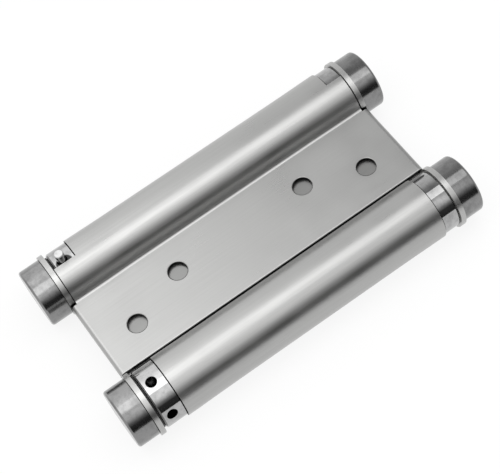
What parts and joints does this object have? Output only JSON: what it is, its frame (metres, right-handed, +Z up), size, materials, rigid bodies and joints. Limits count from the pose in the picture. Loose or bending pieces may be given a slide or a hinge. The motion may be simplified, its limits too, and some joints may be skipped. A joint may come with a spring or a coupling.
{
  "type": "double action spring hinge",
  "caption": "Double acting spring hinge for swing doors: two flat leaves folded over a middle web, each rolled into a barrel with a coil spring, collars and end caps.",
  "frame": {"origin": "on the surface it lies on, under the middle of the closed hinge, midway between the barrels and midway along them", "axes": "+X along the barrels towards the fixed collars, +Y towards the front barrel, +Z up out of the front leaf's mounting face"},
  "size_m": [0.1132, 0.0638, 0.0215],
  "materials": {
    "satin_sheet": "satin stainless sheet",
    "polished_collar": "polished",
    "turned_cap": "fine turned",
    "bright_pin": "bright drawn",
    "spindle_steel": "bright drawn",
    "spring_steel": "oiled spring steel",
    "washer_black": "moulded nylon"
  },
  "bodies": {
    "web": {"web_plate": "satin_sheet", "front_spindle": "spindle_steel", "back_spindle": "spindle_steel", "front_fixed_collar": "polished_collar", "back_fixed_collar": "polished_collar", "front_left_cap": "turned_cap", "front_right_cap": "turned_cap", "back_left_cap": "turned_cap", "back_right_cap": "turned_cap", "front_thrust_washer": "washer_black", "back_thrust_washer": "washer_black", "front_spring": "spring_steel", "back_spring": "spring_steel"},
    "front_leaf": {"front_leaf": "satin_sheet"},
    "back_leaf": {"back_leaf": "satin_sheet"},
    "front_adjuster": {"front_adjusting_collar": "polished_collar", "front_tension_pin": "bright_pin"},
    "back_adjuster": {"back_adjusting_collar": "polished_collar", "back_tension_pin": "bright_pin"}
  },
  "joints": [
    {"name": "front_leaf_swing", "type": "hinge", "parent": "web", "child": "front_leaf", "pos_m": [0, 0.0225, 0.0094], "axis": [-1, 0, 0], "range_deg": [0, 180], "stiffness_Nm_per_rad": 0.25, "springref_deg": -57.3, "deforming": ["front_spring"]},
    {"name": "back_leaf_swing", "type": "hinge", "parent": "web", "child": "back_leaf", "pos_m": [0, -0.0225, 0.0094], "axis": [-1, 0, 0], "range_deg": [0, 180], "stiffness_Nm_per_rad": 0.25, "springref_deg": -17.19, "deforming": ["back_spring"]},
    {"name": "front_collar_turn", "type": "hinge", "parent": "front_leaf", "child": "front_adjuster", "pos_m": [0, 0.0225, 0.0094], "axis": [-1, 0, 0], "range_deg": [0, 40], "stiffness_Nm_per_rad": 0.25, "springref_deg": -57.3, "deforming": ["front_spring"]},
    {"name": "back_collar_turn", "type": "hinge", "parent": "back_leaf", "child": "back_adjuster", "pos_m": [0, -0.0225, 0.0094], "axis": [-1, 0, 0], "range_deg": [-33, 27], "stiffness_Nm_per_rad": 0.25, "deforming": ["back_spring"]}
  ]
}
